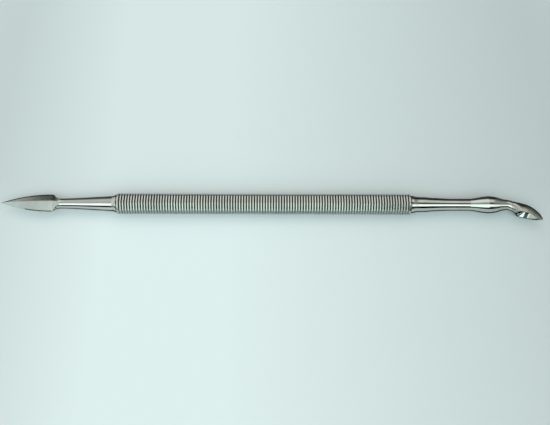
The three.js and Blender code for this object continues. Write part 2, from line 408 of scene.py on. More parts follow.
@dataclass
class BladeEnd:
    """The tapered neck and the pointed leaf blade."""

    handle: GroovedHandle
    neck_foot_diameter: float = 4.3
    neck_diameter: float = 2.78
    neck_taper: float = 13.55
    neck_straight: float = 2.0
    run_out: float = 2.35
    blade_length: float = 14.35
    widest_from_tip: float = 14.0
    width: float = 5.48
    thickness: float = 2.74
    side_offset: float = 0.16
    ridge_curve: float = 0.55
    edge_round: float = 0.05
    ridge_round: float = 0.07
    # A narrow band along each edge, painted dark as shade, which starts further from the tip on
    # the near side and is two lanes wide on the far side; a lane of it is never wider than the
    # share
    dark_band: float = 0.22
    dark_band_share: float = 0.45
    dark_band_far: float = 0.2
    dark_band_near: float = 6.8
    # How far the shoulder's far corner lies beyond the near one, and how far that fades
    shoulder_skew: float = 0.22
    skew_fade: float = 1.6
    # How far from the shoulders the wheel's round wall is painted dark as shade
    walled_length: float = 1.5
    # How far that wall clears the widest section, and how near it comes to ending a facet
    wall_margin: float = 0.02
    facet_reach: float = 0.9999
    # The largest rounding of a corner, as a share of a facet
    round_share: float = 0.4
    # How far the neck's cone eases into the straight stretch
    neck_ease: float = 1.6
    # How nearly the neck's last lanes reach the places where the facets begin
    gathering: float = 0.97
    # Rings along the neck, the run-out and the leaf, where they crowd towards the tip
    neck_rings: int = 60
    run_out_rings: int = 36
    leaf_rings: int = 60
    leaf_crowding: float = 1.35
    # Lanes of a quarter of the section: the wall or edge, the ground facet, the ridge
    wall_lanes: int = 6
    facet_lanes: int = 6
    ridge_lanes: int = 6
    # How the run-out's wall falls from the shoulders to the neck
    shoulder_fall: Table = (
        (0.0, 1.0), (0.05, 0.97), (0.12, 0.86), (0.24, 0.59), (0.34, 0.38), (0.46, 0.22),
        (0.63, 0.09), (0.82, 0.02), (1.0, 0.0),
    )

    def half_width(self, from_tip: float) -> float:
        """Returns the distance from the blade's middle line to its edge."""
        half = self.width / 2
        arc = (self.widest_from_tip**2 + half**2) / (2 * half)
        return half - arc + math.sqrt(arc**2 - (self.widest_from_tip - from_tip) ** 2)

    def ridge(self, from_tip: float) -> float:
        """Returns the ridge's height over the blade's middle plane."""
        return self.thickness / 2 * (from_tip / self.blade_length) ** self.ridge_curve

    @property
    def lanes(self) -> int:
        """How many vertices a ring has."""
        return 4 * (self.wall_lanes + self.facet_lanes + self.ridge_lanes)

    def quarter(self, half_y: float, half_z: float, turned: float) -> Points:
        """Gives a quarter of a diamond whose corners a round wall may cut away.

        Args:
            half_y: half of the diamond's width.
            half_z: half of its height.
            turned: radius of the round wall.

        Returns:
            Sideways and upward distances from the edge's corner to the ridge's.
        """
        length = math.hypot(half_y, half_z)
        near = half_y * half_z / length
        normal = math.atan2(half_y, half_z)
        reach = math.acos(min(near / turned, self.facet_reach))
        start = max(normal - reach, 0.0)
        end = min(normal + reach, math.pi / 2)

        def walled(low: float, high: float, count: int) -> Points:
            """Gives a stretch of the round wall, from one angle to another."""
            angles = spread(low, high, count)
            return [(turned * math.cos(angle), turned * math.sin(angle)) for angle in angles]

        def rounded(corner: float, size: float, count: int) -> Points:
            """Gives a corner's rounding, as distances inwards and along the mirror line."""
            size = min(size, self.round_share * length) / length
            inward = (corner * size, (length**2 - corner**2) ** 0.5 * size)
            return [
                (corner - inward[0] * (share**2 + (1 - share) ** 2), inward[1] * (2 * share - 1))
                for share in spread(0.5, 1.0, count)
            ]

        if start > 0 and turned * start > self.edge_round:
            edge = walled(0.0, start, self.wall_lanes)
        else:
            edge = rounded(half_y, self.edge_round, self.wall_lanes)
        if end < math.pi / 2 and turned * (math.pi / 2 - end) > self.ridge_round:
            ridge = walled(end, math.pi / 2, self.ridge_lanes)
        else:
            flank = rounded(half_z, self.ridge_round, self.ridge_lanes)
            ridge = [(across, up) for up, across in reversed(flank)]
        first, last = edge[-1], ridge[0]
        band = min(self.dark_band / math.dist(first, last), self.dark_band_share)
        shares = [0.0, band, *spread(2 * band, 1.0, self.facet_lanes - 2)]
        facet = [
            (first[0] + (last[0] - first[0]) * share, first[1] + (last[1] - first[1]) * share)
            for share in shares
        ]
        return edge[:-1] + facet[:-1] + ridge

    def mirrored(self, lane: int) -> tuple[int, int, int]:
        """Finds a lane's counterpart in the first quarter of the section.

        Args:
            lane: the lane's number.

        Returns:
            Its step from the edge's corner, and the signs of its sideways and upward places.
        """
        side = self.lanes // 4
        quarter, step = divmod(lane, side)
        step = step if quarter % 2 == 0 else side - step
        return step, 1 if quarter in (0, 3) else -1, 1 if quarter < 2 else -1

    def round_section(self, x: float, radius: float, gathered: float) -> Outline:
        """Gives a ring of the round neck.

        Args:
            x: the ring's place along the tool.
            radius: its radius.
            gathered: how far its lanes have moved to where the facets begin, from 0 to 1.

        Returns:
            The ring's outline.
        """
        side = self.lanes // 4
        normal = math.atan2(self.half_width(self.blade_length), self.thickness / 2)
        ridge_start = self.wall_lanes + self.facet_lanes

        def place(lane: int) -> Vector:
            """Places a lane's vertex on the circle."""
            step, sideways, upwards = self.mirrored(lane)
            even = math.pi / 2 * step / side
            beyond = (math.pi / 2 - normal) * max(0, step - ridge_start) / self.ridge_lanes
            aim = normal * min(step / self.wall_lanes, 1.0) + beyond
            turn = even + (aim - even) * self.gathering * gathered
            across, up = radius * math.cos(turn), radius * math.sin(turn)
            return Vector((x, sideways * across, self.handle.axis + upwards * up))

        return place

    def section(
        self, x: float, y: float, half_y: float, half_z: float, turned: float = math.inf
    ) -> Outline:
        """Gives a ring of the blade or of its run-out.

        Args:
            x: the ring's place along the tool.
            y: how far its middle lies to the side.
            half_y: half of the diamond's width.
            half_z: half of its height.
            turned: radius of the round wall that cuts its corners away.

        Returns:
            The ring's outline.
        """
        points = self.quarter(half_y, half_z, turned)
        away = abs(x - self.shoulder_x) / self.skew_fade
        skew = self.shoulder_skew / self.width * max(0.0, 1 - away) ** 2 * (1 + 2 * away)

        def place(lane: int) -> Vector:
            """Places a lane's vertex on its mirrored quarter of the diamond."""
            step, sideways, upwards = self.mirrored(lane)
            across, up = sideways * points[step][0], upwards * points[step][1]
            return Vector((x - skew * across, y + across, self.handle.axis + up))

        return place

    @property
    def tip_x(self) -> float:
        """The blade's tip."""
        before = self.neck_taper + self.neck_straight + self.run_out
        return -self.handle.end - before - self.blade_length

    @property
    def shoulder_x(self) -> float:
        """The blade's shoulders."""
        return self.tip_x + self.blade_length

    def build(self, materials: Materials) -> None:
        """Builds the blade end.

        Args:
            materials: the finishes by name.
        """
        axis = self.handle.axis
        foot_x = -self.handle.end
        run_x = foot_x - self.neck_taper - self.neck_straight
        neck = self.neck_diameter / 2
        foot = self.neck_foot_diameter / 2
        tang = self.handle.socket.tang_diameter / 2
        tang_x = foot_x + self.handle.socket.tang_length

        bar = DrawnBar(self.lanes)
        start = ((tang_x, END_RING * tang), (tang_x, tang), (foot_x, tang), (foot_x, foot))
        for x, radius in start:
            bar.ring(round_outline(x, radius, self.lanes, axis))
        # A long straight cone that eases into the straight stretch
        narrowing = (foot - neck) / self.neck_taper
        taper = SmoothCurve(
            (
                (0.0, foot),
                (self.neck_taper / 2, foot - narrowing * self.neck_taper / 2),
                (self.neck_taper - self.neck_ease, neck + narrowing * self.neck_ease),
                (self.neck_taper + self.neck_ease / 2, neck),
            )
        )
        for along in spread(0.0, self.neck_taper + self.neck_straight, self.neck_rings)[1:]:
            gathered = max(0.0, (along - self.neck_taper) / self.neck_straight)
            bar.ring(self.round_section(foot_x - along, taper.at(along), gathered))
        self.draw_run_out(bar, run_x, neck)
        for share in spread(1.0, 0.0, self.leaf_rings)[1:-1]:
            from_tip = self.blade_length * share**self.leaf_crowding
            x, half_y = self.tip_x + from_tip, self.half_width(from_tip)
            bar.ring(self.section(x, self.side_offset, half_y, self.ridge(from_tip)))
        bar.close(Vector((tang_x, 0, axis)), Vector((self.tip_x, self.side_offset, axis)))

        names = (Finish.POLISHED, Finish.GROUND, Finish.PAINTED_SHADE)
        self.mark_faces(bar, run_x, names)
        finishes = [materials[name] for name in names]
        finish_piece("blade_end", bar.mesh, finishes, sharp_degrees=20)

    def mark_faces(self, bar: DrawnBar, run_x: float, names: tuple[Finish, ...]) -> None:
        """Gives every face the number of its finish.

        Args:
            bar: the whole blade end.
            run_x: where the facets begin to bite into the neck.
            names: the finishes, in the order of their numbers.
        """
        ground = self.lanes_between(self.wall_lanes, self.wall_lanes + self.facet_lanes)
        dark_band_near = self.lanes_between(0, self.wall_lanes + 1)
        dark_band_far = self.lanes_between(0, self.wall_lanes + 2)
        wall = self.lanes_between(self.wall_lanes // 2, self.wall_lanes)
        wall_end = self.shoulder_x + self.walled_length
        for face in bar.mesh.faces:
            x, y, _ = face.calc_center_median() / MM
            lanes = {vert[bar.lane] for vert in face.verts}
            far = y > self.side_offset
            dark_band_from = self.tip_x + (self.dark_band_far if far else self.dark_band_near)
            finish = Finish.POLISHED
            # Bands along the edges and the shoulders' wall take the painted shade finish
            if dark_band_from < x < self.shoulder_x and lanes <= (dark_band_far if far else dark_band_near):
                finish = Finish.PAINTED_SHADE
            elif self.shoulder_x <= x < wall_end and lanes <= wall:
                finish = Finish.PAINTED_SHADE
            elif x < self.shoulder_x or (x < run_x and lanes <= ground):
                finish = Finish.GROUND
            face.material_index = names.index(finish)

    def lanes_between(self, start: int, end: int) -> set[int]:
        """Returns the lanes from one step of every quarter to another."""
        return {lane for lane in range(self.lanes) if start <= self.mirrored(lane)[0] <= end}

    def draw_run_out(self, bar: DrawnBar, run_x: float, neck: float) -> None:
        """Draws the stretch where a wheel ran the facets out into the round neck.

        Args:
            bar: the bar being drawn towards the blade.
            run_x: where the facets begin to bite into the neck.
            neck: the neck's radius.
        """
        fall = SmoothCurve(self.shoulder_fall)
        half_y, half_z = self.half_width(self.blade_length), self.thickness / 2
        near = half_y * half_z / math.hypot(half_y, half_z)
        wall_top = half_y + self.wall_margin
        for along in spread(1.0, 0.0, self.run_out_rings)[1:]:
            rise = fall.at(along)
            # The facets keep their tilt, and a wheel's arc lifts them to the neck's surface.
            grown = (near + (neck - near) * along**2) / near
            x = run_x - self.run_out * (1 - along)
            turned = neck + (wall_top - neck) * rise
            outline = self.section(
                x, self.side_offset * rise, half_y * grown, half_z * grown, turned
            )
            bar.ring(outline)


@dataclass
class ScoopEnd:
    """The waisted neck with its bulb, and the bent, pointed scoop."""

    handle: GroovedHandle
    neck_foot_diameter: float = 4.2
    neck_diameter: float = 3.3
    neck_taper: float = 11.25
    neck_straight: float = 5.0
    bulb_diameter: float = 4.8
    bulb_rise: float = 5.6
    bulb_fall: float = 5.2
    waist_diameter: float = 2.8
    scoop_length: float = 9.42
    scoop_width: float = 3.6
    scoop_depth: float = 2.7
    scoop_drop: float = 4.68
    mouth_start: float = 1.7
    mouth_start_drop: float = 2.37
    bowl_length: float = 5.75
    bowl_width: float = 3.0
    bowl_depth: float = 1.7
    bowl_rim_at_heel: float = 0.8
    # A low hump across the bowl: where it is, its height as a share of the depth there, how
    # far it reaches, and its slant, which leans it towards the tip on the upper side
    hump_place: float = 3.75
    hump_height: float = 0.22
    hump_reach: float = 0.5
    hump_slant: float = -0.25
    # How full the bowl's sides are: 1 would be a cone, and 2 a round dish
    bowl_fullness: float = 1.5
    # How far before the tip the rim along the lower side, painted dark as shade, ends
    rim_end: float = 1.3
    # How far past the waist the body is dressed and no longer polished; there its darker colour
    # is partly painted shade that dims the body's highlight
    dimmed_from: float = 0.9
    lanes: int = 96
    # Rings along the neck and bulb, along the bent body, and down into the bowl
    neck_rings: int = 70
    body_rings: int = 80
    bowl_rings: int = 16
    # In the order of the faces' numbers
    finishes: tuple[Finish, ...] = (Finish.POLISHED, Finish.BOWL, Finish.DRESSED_DIMMED, Finish.PAINTED_SHADE)
    # Shares of the way and of the change: down the neck, up the bulb and down to the waist
    taper_fall: Table = (
        (0.0, 0.0), (0.19, 0.02), (0.36, 0.1), (0.43, 0.24), (0.5, 0.4), (0.68, 0.63),
        (0.86, 0.88), (1.0, 0.97),
    )
    rise_shape: Table = (
        (0.0, 0.0), (0.18, 0.1), (0.36, 0.33), (0.52, 0.56), (0.68, 0.76), (0.85, 0.92),
        (1.0, 1.0),
    )
    fall_shape: Table = (
        (0.0, 0.0), (0.16, 0.06), (0.31, 0.16), (0.48, 0.36), (0.67, 0.68), (0.85, 0.9),
        (1.0, 1.0),
    )
    # Share of the scoop's length, then shares of its drop, depth and width
    body: tuple[tuple[float, float, float, float], ...] = (
        (0.117, 0.085, 0.548, 0.76), (0.212, 0.177, 0.619, 0.83), (0.255, 0.269, 0.737, 0.88),
        (0.297, 0.38, 0.889, 0.93), (0.355, 0.545, 1.149, 0.97), (0.488, 0.618, 1.13, 0.98),
        (0.59, 0.675, 1.089, 0.93), (0.682, 0.733, 1.011, 0.86), (0.766, 0.798, 0.897, 0.73),
        (0.856, 0.866, 0.717, 0.55), (0.924, 0.921, 0.523, 0.37), (0.962, 0.963, 0.353, 0.22),
        (0.982, 0.985, 0.207, 0.12),
    )

    def stations(self) -> tuple[SmoothCurve, SmoothCurve, SmoothCurve, float]:
        """Works out the whole end's shape from the handle's face to the tip.

        Returns:
            Curves of the sideways drop, of half the depth and of half the width, each over
            the distance from the handle's face, and the distance to the tip.
        """
        foot, neck = self.neck_foot_diameter / 2, self.neck_diameter / 2
        bulb, waist = self.bulb_diameter / 2, self.waist_diameter / 2
        drop, depth, width = [], [], []

        def add(along: float, side: float, half_y: float, half_z: float) -> None:
            """Notes a station's drop, half depth and half width."""
            drop.append((along, side))
            depth.append((along, half_y))
            width.append((along, half_z))

        for share, fall in self.taper_fall:
            radius = foot + (neck - foot) * fall
            add(share * self.neck_taper, 0.0, radius, radius)
        start = self.neck_taper + self.neck_straight
        for share, rise in self.rise_shape:
            radius = neck + (bulb - neck) * rise
            add(start + share * self.bulb_rise, 0.0, radius, radius)
        start += self.bulb_rise
        for share, fall in self.fall_shape[1:]:
            radius = bulb + (waist - bulb) * fall
            add(start + share * self.bulb_fall, 0.0, radius, radius)
        start += self.bulb_fall
        for share, side, half_y, half_z in self.body:
            add(
                start + share * self.scoop_length,
                side * self.scoop_drop,
                half_y * self.scoop_depth,
                half_z * self.scoop_width / 2,
            )
        tip = start + self.scoop_length
        add(tip, self.scoop_drop, 0.0, 0.0)
        curves = [SmoothCurve(tuple(rows)) for rows in (drop, depth, width)]
        return curves[0], curves[1], curves[2], tip

    def build(self, materials: Materials) -> None:
        """Builds the scoop end.

        Args:
            materials: the finishes by name.
        """
        axis = self.handle.axis
        face_x = self.handle.end
        tang = self.handle.socket.tang_diameter / 2
        tang_x = face_x - self.handle.socket.tang_length
        drop, depth, width, tip = self.stations()

        def section(along: float) -> Outline:
            """Gives the ring at a distance from the handle's face."""

            def place(lane: int) -> Vector:
                """Places a lane's vertex on the oval section."""
                angle = math.tau * lane / self.lanes
                across = -drop.at(along) + depth.at(along) * math.cos(angle)
                up = width.at(along) * math.sin(angle)
                return Vector((face_x + along, across, axis + up))

            return place

        bar = DrawnBar(self.lanes)
        for x, radius in ((tang_x, END_RING * tang), (tang_x, tang), (face_x, tang)):
            bar.ring(round_outline(x, radius, self.lanes, axis))
        waist = tip - self.scoop_length
        neck = spread(0.0, waist, self.neck_rings)
        for along in neck + spread(waist, tip, self.body_rings)[1:-1]:
            bar.ring(section(along))
        bar.close(Vector((tang_x, 0, axis)), Vector((face_x + tip, -self.scoop_drop, axis)))
        self.hollow(bar.mesh)
        # The dressed finish's darker colour is partly painted shade over the body's highlight
        for face in bar.mesh.faces:
            dressed = face.calc_center_median().x > (self.waist_x + self.dimmed_from) * MM
            if face.material_index == self.number(Finish.POLISHED) and dressed:
                face.material_index = self.number(Finish.DRESSED_DIMMED)
        finishes = [materials[name] for name in self.finishes]
        finish_piece("scoop_end", bar.mesh, finishes, sharp_degrees=30)

    def number(self, finish: Finish) -> int:
        """Returns the number that the faces of a finish have."""
        return self.finishes.index(finish)

    @property
    def waist_x(self) -> float:
        """Where the bend begins."""
        before = self.neck_taper + self.neck_straight + self.bulb_rise + self.bulb_fall
        return self.handle.end + before

    @property
    def heel(self) -> Vector:
        """The mouth's end nearest the handle."""
        return Vector((self.waist_x + self.mouth_start, -self.mouth_start_drop, self.handle.axis))

    @property
    def along(self) -> Vector:
        """Direction from the heel to the tip."""
        tip = Vector((self.waist_x + self.scoop_length, -self.scoop_drop, self.handle.axis))
        return (tip - self.heel).normalized()

    @property
    def out(self) -> Vector:
        """Direction out of the mouth."""
        return Vector((self.along.y, -self.along.x, 0.0))

    def hollow(self, mesh: bmesh.types.BMesh) -> None:
        """Cuts the mouth and sinks the bowl into it.

        Args:
            mesh: the whole body.
        """
        heel = self.heel
        near = [face for face in mesh.faces if face.calc_center_median().x > heel.x * MM]
        edges = {edge for face in near for edge in face.edges}
        verts = {vert for face in near for vert in face.verts}
        cut = bmesh.ops.bisect_plane(
            mesh,
            geom=[*verts, *edges, *near],
            dist=1e-8,
            plane_co=heel * MM,
            plane_no=self.out,
            clear_outer=True,
        )["geom_cut"]
        rim = only(bmesh.types.BMEdge, cut)
        self.sink(mesh, bmesh.ops.contextual_create(mesh, geom=rim)["faces"])

    def sink(self, mesh: bmesh.types.BMesh, mouth: list[bmesh.types.BMFace]) -> None:
        """Sinks the bowl, as smaller and smaller copies of the mouth's outline.

        Args:
            mesh: the body with its mouth cut.
            mouth: the face over the mouth.
        """
        heel, along, out = self.heel, self.along, self.out
        verts = list(mouth[0].verts)
        reach = [(v.co / MM - heel).dot(along) for v in verts]
        heights = [v.co.z / MM for v in verts]
        long_share = self.bowl_length / (max(reach) - min(reach))
        wide_share = self.bowl_width / (max(heights) - min(heights))
        # The outline shrinks about the point that leaves the stated rim at the heel.
        centre_along = (self.bowl_rim_at_heel - min(reach) * long_share) / (1 - long_share)
        centre_along = min(max(centre_along, min(reach)), max(reach))
        turn = Matrix((along, out, (0, 0, 1))).to_4x4()
        pivot = heel + along * centre_along
        middle = heel + along * (self.bowl_rim_at_heel + self.bowl_length / 2)
        lip_end = heel.x + along.x * max(reach) - self.rim_end
        faces = mouth
        last, sunk = 1.0, 0.0
        rings = []
        for i in range(self.bowl_rings):
            share = math.cos(i / self.bowl_rings * math.pi / 2)
            before, sunk = sunk, self.bowl_depth * (1 - share**self.bowl_fullness)
            grown = bmesh.ops.extrude_face_region(mesh, geom=faces)["geom"]
            bmesh.ops.delete(mesh, geom=faces, context="FACES_ONLY")
            faces = only(bmesh.types.BMFace, grown)
            ring = only(bmesh.types.BMVert, grown)
            if i == 0:
                shrink, about = (long_share, 1.0, wide_share), pivot
            else:
                shrink, about = (share / last, 1.0, share / last), middle
            space = turn @ Matrix.Translation(-about * MM)
            bmesh.ops.scale(mesh, vec=Vector(shrink), space=space, verts=ring)
            bmesh.ops.translate(mesh, vec=out * (before - sunk) * MM, verts=ring)
            for face in {f for v in ring for f in v.link_faces} - set(faces):
                centre = face.calc_center_median() / MM
                lower = centre.z < heel.z and centre.x < lip_end
                # The lower rim takes the painted shade finish, the upper one the dressed finish
                rim = Finish.PAINTED_SHADE if lower else Finish.DRESSED_DIMMED
                face.material_index = self.number(Finish.BOWL if i else rim)
            last = share
            rings += ring
        for vert in rings:
            self.lift(vert)
        bottom = sum((vert.co for vert in ring), Vector()) / len(ring)
        for face in faces:
            face.material_index = self.number(Finish.BOWL)
        bmesh.ops.pointmerge(mesh, verts=ring, merge_co=bottom)

    def lift(self, vert: bmesh.types.BMVert) -> None:
        """Lifts a vertex of the sunk bowl where the hump crosses it.

        Args:
            vert: the vertex.
        """
        place = vert.co / MM - self.heel
        depth = -place.dot(self.out)
        off = place.dot(self.along) - self.hump_place + self.hump_slant * place.z
        share = self.hump_height * math.exp(-((off / self.hump_reach) ** 2))
        vert.co += self.out * depth * share * MM


@dataclass
class BrazeFillet:
    """A ring of braze round the foot of a neck, dressed to a smooth curve."""

    node: str
    handle: GroovedHandle
    direction: int
    length: float
    foot_radius: float
    end_radius: float
    outer_diameter: float = 4.84
    clearance: float = 0.01
    steps: int = 96
    curve_steps: int = 16

    def build(self, materials: Materials) -> None:
        """Builds the ring by spinning its profile about the tool's axis.

        Args:
            materials: the finishes by name.
        """
        outer = self.outer_diameter / 2
        last = self.end_radius + self.clearance
        profile = [(0.0, self.foot_radius + self.clearance)]
        for along in spread(0.0, 1.0, self.curve_steps):
            share = (1 + math.cos(math.pi * along)) / 2
            profile.append((along * self.length, last + (outer - last) * share))
        mesh = bmesh.new()
        face_x = self.direction * self.handle.end
        points = [
            mesh.verts.new(Vector((face_x + self.direction * x, radius, self.handle.axis)) * MM)
            for x, radius in profile
        ]
        edges = [mesh.edges.new(pair) for pair in zip(points, points[1:] + points[:1])]
        bmesh.ops.spin(
            mesh,
            geom=[*points, *edges],
            cent=Vector((face_x, 0, self.handle.axis)) * MM,
            axis=(1, 0, 0),
            angle=math.tau,
            steps=self.steps,
            use_merge=True,
            use_duplicate=False,
        )
        bmesh.ops.remove_doubles(mesh, verts=mesh.verts, dist=1e-7)
        bmesh.ops.recalc_face_normals(mesh, faces=mesh.faces)
        finishes = [materials[Finish.BRAZE]]
        finish_piece(self.node, mesh, finishes, sharp_degrees=40)


class Graph:
    """Adds nodes to a tree and links them."""

    def __init__(self, tree: bpy.types.NodeTree) -> None:
        """Keeps the tree and empties it.

        Args:
            tree: the tree to fill.
        """
        self.tree = tree
        tree.nodes.clear()

    def add(self, kind: str, inputs: dict | None = None, **settings: object) -> bpy.types.Node:
        """Adds a node.

        Args:
            kind: the node's type.
            inputs: constants, or sockets to link from, by input name or number.
            settings: the node's own properties.

        Returns:
            The new node.
        """
        node = self.tree.nodes.new(kind)
        for name, value in settings.items():
            setattr(node, name, value)
        for name, value in (inputs or {}).items():
            if isinstance(value, NodeSocket):
                self.tree.links.new(value, node.inputs[name])
            else:
                node.inputs[name].default_value = value
        return node

    def math(self, operation: str, first: Value, second: Value = 0.0) -> NodeSocket:
        """Adds a Math node and returns its output."""
        return self.add("ShaderNodeMath", {0: first, 1: second}, operation=operation).outputs[0]

    def vector(self, operation: str, first: Value, second: Value | Vector) -> bpy.types.Node:
        """Adds a Vector Math node."""
        return self.add("ShaderNodeVectorMath", {0: first, 1: second}, operation=operation)

    def between(
        self, value: NodeSocket, low: float, high: float, start: float = 0.0, end: float = 1.0
    ) -> NodeSocket:
        """Adds a smooth Map Range node from low..high to start..end and returns its output."""
        node = self.add(
            "ShaderNodeMapRange",
            {"Value": value, "From Min": low, "From Max": high, "To Min": start, "To Max": end},
            interpolation_type="SMOOTHSTEP",
        )
        return node.outputs[0]

    def mix(
        self, factor: NodeSocket, first: NodeSocket | Colour, second: NodeSocket | Colour
    ) -> NodeSocket:
        """Adds a colour Mix node and returns its output."""
        node = self.add("ShaderNodeMix", {0: factor, 6: first, 7: second}, data_type="RGBA")
        return node.outputs[2]

    def diagonal(self, first: NodeSocket, second: NodeSocket) -> NodeSocket:
        """Adds the nodes for the length of a diagonal, from its two sides."""
        squares = [self.math("MULTIPLY", side, side) for side in (first, second)]
        return self.math("SQRT", self.math("ADD", *squares))

    def group(self, tree: bpy.types.NodeTree, inputs: dict) -> bpy.types.bpy_prop_collection:
        """Places a node group and returns its outputs."""
        return self.add("ShaderNodeGroup", inputs, node_tree=tree).outputs


def make_group(
    name: str, inputs: dict[str, tuple[str, object]], outputs: dict[str, str]
) -> tuple[Graph, bpy.types.bpy_prop_collection]:
    """Starts a shader node group with named sockets.

    Args:
        name: the group's name.
        inputs: socket type and default by name.
        outputs: socket type by name.

    Returns:
        The group's graph, and the sockets that bring its inputs.
    """
    tree = bpy.data.node_groups.new(name, "ShaderNodeTree")
    for label, (kind, default) in inputs.items():
        socket = tree.interface.new_socket(name=label, in_out="INPUT", socket_type=kind)
        if default is not None:
            socket.default_value = default
    for label, kind in outputs.items():
        tree.interface.new_socket(name=label, in_out="OUTPUT", socket_type=kind)
    graph = Graph(tree)
    return graph, graph.add("NodeGroupInput").outputs


def hairline_group() -> bpy.types.NodeTree:
    """Builds fine scratches that run along X.

    Returns:
        A group from Vector, Along and Across (lines per metre) to Lines, from 0 to 1.
    """
    graph, given = make_group(
        "hairlines",
        {"Vector": (VECTOR, None), "Along": (FLOAT, 60.0), "Across": (FLOAT, 9000.0)},
        {"Lines": FLOAT},
    )
    scale = graph.add(
        "ShaderNodeCombineXYZ", {"X": given["Along"], "Y": given["Across"], "Z": given["Across"]}
    )
    stretched = graph.vector("MULTIPLY", given["Vector"], scale.outputs[0])
    fine = graph.add(
        "ShaderNodeTexNoise",
        {"Vector": stretched.outputs[0], "Scale": 1.0, "Detail": 4.0, "Roughness": 0.65},
    )
    # The noise's values between the lines and on them
    gap, line = 0.35, 0.7
    lines = graph.between(fine.outputs["Fac"], gap, line)
    graph.add("NodeGroupOutput", {"Lines": lines})
    return graph.tree


def arc_group() -> bpy.types.NodeTree:
    """Builds coordinates that run round a centre, for the marks of a grinding wheel.

    Returns:
        A group from Vector, Centre (both in metres) to Vector: round, outwards and up.
    """
    # The way round is measured on a circle of this radius, in metres.
    circle = 0.02
    graph, given = make_group(
        "arc_space", {"Vector": (VECTOR, None), "Centre": (VECTOR, None)}, {"Vector": VECTOR}
    )
    off = graph.vector("SUBTRACT", given["Vector"], given["Centre"])
    parts = graph.add("ShaderNodeSeparateXYZ", {0: off.outputs[0]}).outputs
    turn = graph.math("ARCTAN2", parts["Y"], parts["X"])
    joined = graph.add(
        "ShaderNodeCombineXYZ",
        {
            "X": graph.math("MULTIPLY", turn, circle),
            "Y": graph.diagonal(parts["X"], parts["Y"]),
            "Z": parts["Z"],
        },
    )
    graph.add("NodeGroupOutput", {"Vector": joined.outputs[0]})
    return graph.tree


def handling_group() -> bpy.types.NodeTree:
    """Builds the faint clouding that handling leaves on bare steel.

    Returns:
        A group from Vector and Size (patches per metre) to Cloud, from 0 to 1.
    """
    graph, given = make_group(
        "handling", {"Vector": (VECTOR, None), "Size": (FLOAT, 180.0)}, {"Cloud": FLOAT}
    )
    patches = graph.add(
        "ShaderNodeTexNoise", {"Vector": given["Vector"], "Scale": given["Size"], "Detail": 3.0}
    )
    # The noise's values where a patch begins and where it is full
    begun, full = 0.35, 0.68
    cloud = graph.between(patches.outputs["Fac"], begun, full)
    graph.add("NodeGroupOutput", {"Cloud": cloud})
    return graph.tree


def groove_group() -> bpy.types.NodeTree:
    """Builds masks of the handle's grooves, of its corners and of its sides.

    Returns:
        A group from Vector, Axis, Flat, Floor and Corner (metres) to Groove, Wear and Side.
    """
    lengths = ("Axis", "Flat", "Floor", "Corner")
    graph, given = make_group(
        "groove_masks",
        {"Vector": (VECTOR, None), **{name: (FLOAT, 0.0) for name in lengths}},
        {name: FLOAT for name in ("Groove", "Wear", "Side")},
    )
    parts = graph.add("ShaderNodeSeparateXYZ", {0: given["Vector"]}).outputs
    side = graph.math("ABSOLUTE", parts["Y"])
    up = graph.math("ABSOLUTE", graph.math("SUBTRACT", parts["Z"], given["Axis"]))
    # The groove's depth, under whichever of the eight flats is nearest
    slant = graph.math("MULTIPLY", graph.math("ADD", side, up), math.sqrt(0.5))
    flat = graph.math("MAXIMUM", graph.math("MAXIMUM", side, up), slant)
    depth = graph.math("SUBTRACT", given["Flat"], flat)
    whole = graph.math("SUBTRACT", given["Flat"], given["Floor"])
    share = graph.math("DIVIDE", depth, whole)
    # How nearly a place is a corner, and how steeply it lies above or below the axis
    out = graph.math("DIVIDE", graph.diagonal(side, up), given["Corner"])
    steep = graph.math("DIVIDE", up, graph.math("MAXIMUM", side, 1e-5))
    # Shares of the depth and of the corner's distance, and slopes, that each mask fades over
    deepening, wearing, steepening = (0.06, 0.5), (0.97, 0.995), (0.35, 0.62)
    graph.add(
        "NodeGroupOutput",
        {
            "Groove": graph.between(share, *deepening),
            "Wear": graph.between(out, *wearing),
            "Side": graph.between(steep, *steepening, 1.0, 0.0),
        },
    )
    return graph.tree


@dataclass
class SteelSurface:
    """A steel surface whose material is being built."""

    graph: Graph
    groups: Groups
    place: NodeSocket
    colour: NodeSocket
    rough: NodeSocket


